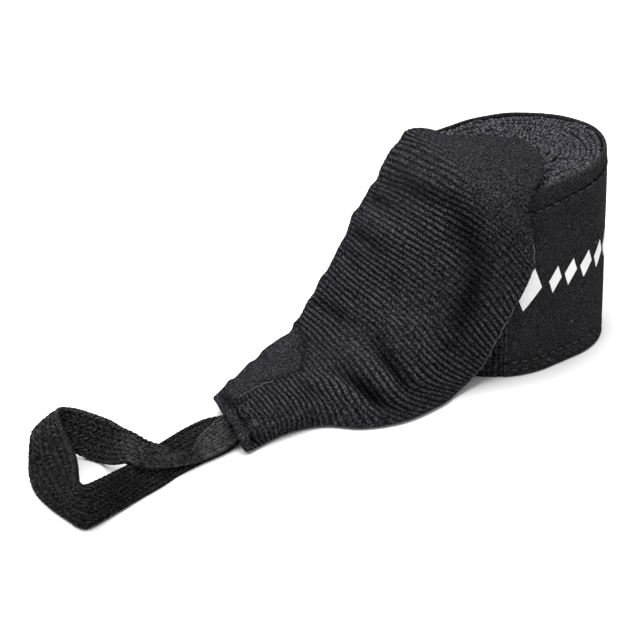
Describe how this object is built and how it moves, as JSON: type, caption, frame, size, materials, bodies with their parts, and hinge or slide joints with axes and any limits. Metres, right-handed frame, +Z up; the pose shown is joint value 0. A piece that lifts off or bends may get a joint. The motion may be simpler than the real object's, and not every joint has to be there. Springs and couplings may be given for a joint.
{
  "type": "hand wrap",
  "caption": "Rolled elastic hand wrap for boxing, with a fabric closure panel round the roll and a loose tapered end with a tape thumb loop.",
  "frame": {"origin": "core of the roll, on the roll's flat underside", "axes": "+Z up along the roll's axis; the loose end runs from the roll along -X; the closure's free flap is on the +Y side"},
  "size_m": [0.1723, 0.0535, 0.0523],
  "materials": {
    "knit": "ribbed elastic knit, charcoal, matt and slightly fuzzy",
    "twill": "fine black twill, low sheen",
    "thread": "dark grey sewing thread",
    "hook": "moulded nylon hooks",
    "pile": "brushed nylon loops",
    "print": "white printed ink",
    "tape": "flat braided cotton tape, black"
  },
  "bodies": {
    "roll": {"rolled_band": "knit", "closure_panel": "twill", "pile_patch": "pile", "top_hem_stitching": "thread", "bottom_hem_stitching": "thread", "bottom_edge_stitching": "thread", "seam_stitching": "thread", "panel_mark": "print", "tail_root": "knit"},
    "flap": {"closure_flap": "twill", "hook_patch": "hook", "flap_stitching": "thread"},
    "fall": {"tail_drape": "knit", "tail_curl": "knit"},
    "end": {"tail_end": "knit", "corner_fold": "knit", "gather_hem": "knit", "tape_ends": "tape", "bar_tacks": "thread"},
    "loop": {"thumb_loop": "tape"}
  },
  "joints": [
    {"name": "flap_peel", "type": "hinge", "parent": "roll", "child": "flap", "pos_m": [0.02488, 0.01122, 0.025], "axis": [0, 0, -1], "range_deg": [0, 110]},
    {"name": "tail_lift", "type": "hinge", "parent": "roll", "child": "fall", "pos_m": [-0.02185, 0, 0.0523], "axis": [0, 1, 0], "range_deg": [0, 90]},
    {"name": "end_lift", "type": "hinge", "parent": "fall", "child": "end", "pos_m": [-0.04785, 0, 0.0035], "axis": [0, 1, 0], "range_deg": [0, 60]},
    {"name": "loop_lift", "type": "hinge", "parent": "end", "child": "loop", "pos_m": [-0.09185, 0, 0.0062], "axis": [0, 1, 0], "range_deg": [0, 60]}
  ]
}
